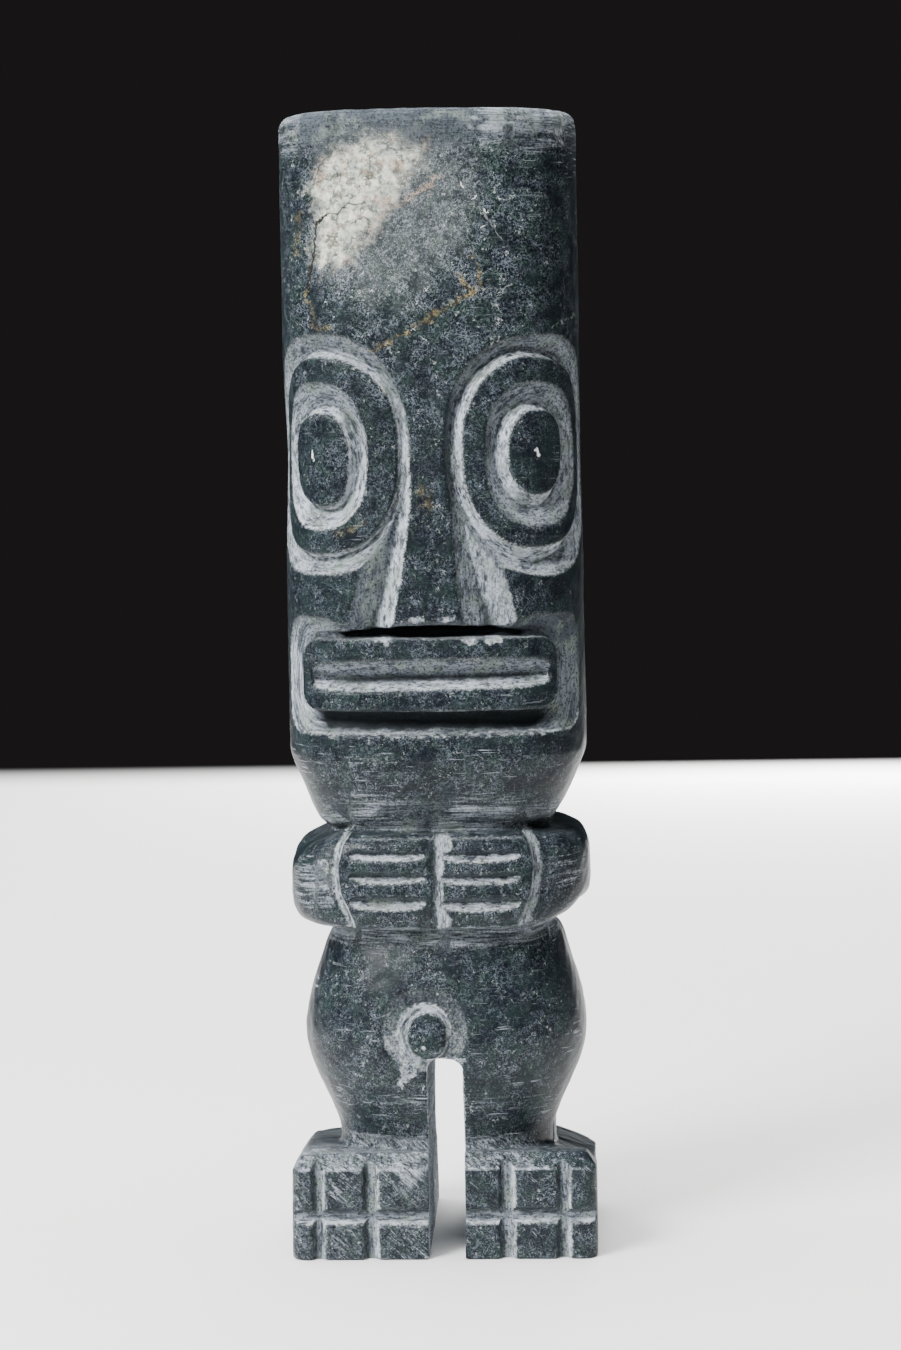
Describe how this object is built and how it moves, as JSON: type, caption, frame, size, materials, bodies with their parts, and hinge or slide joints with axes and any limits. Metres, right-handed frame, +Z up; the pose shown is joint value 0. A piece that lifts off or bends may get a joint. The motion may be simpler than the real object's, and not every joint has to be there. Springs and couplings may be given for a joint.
{
  "type": "stone deity figure",
  "caption": "Standing deity figure carved from one dark stone: tall block head with ringed eyes and a wide mouth, hands on the belly, slotted legs and block feet.",
  "frame": {"origin": "centre of the base on the surface the feet stand on", "axes": "+Z up along the figure, the face looks along -Y, +X is to the right of someone who looks at the face"},
  "size_m": [0.0484, 0.04, 0.18],
  "materials": {
    "dark_stone": "dark green-black stone, half polished, with chalky grey in the carved grooves and a pale patch on the forehead"
  },
  "bodies": {
    "root": {"stone_figure": "dark_stone"}
  },
  "joints": []
}
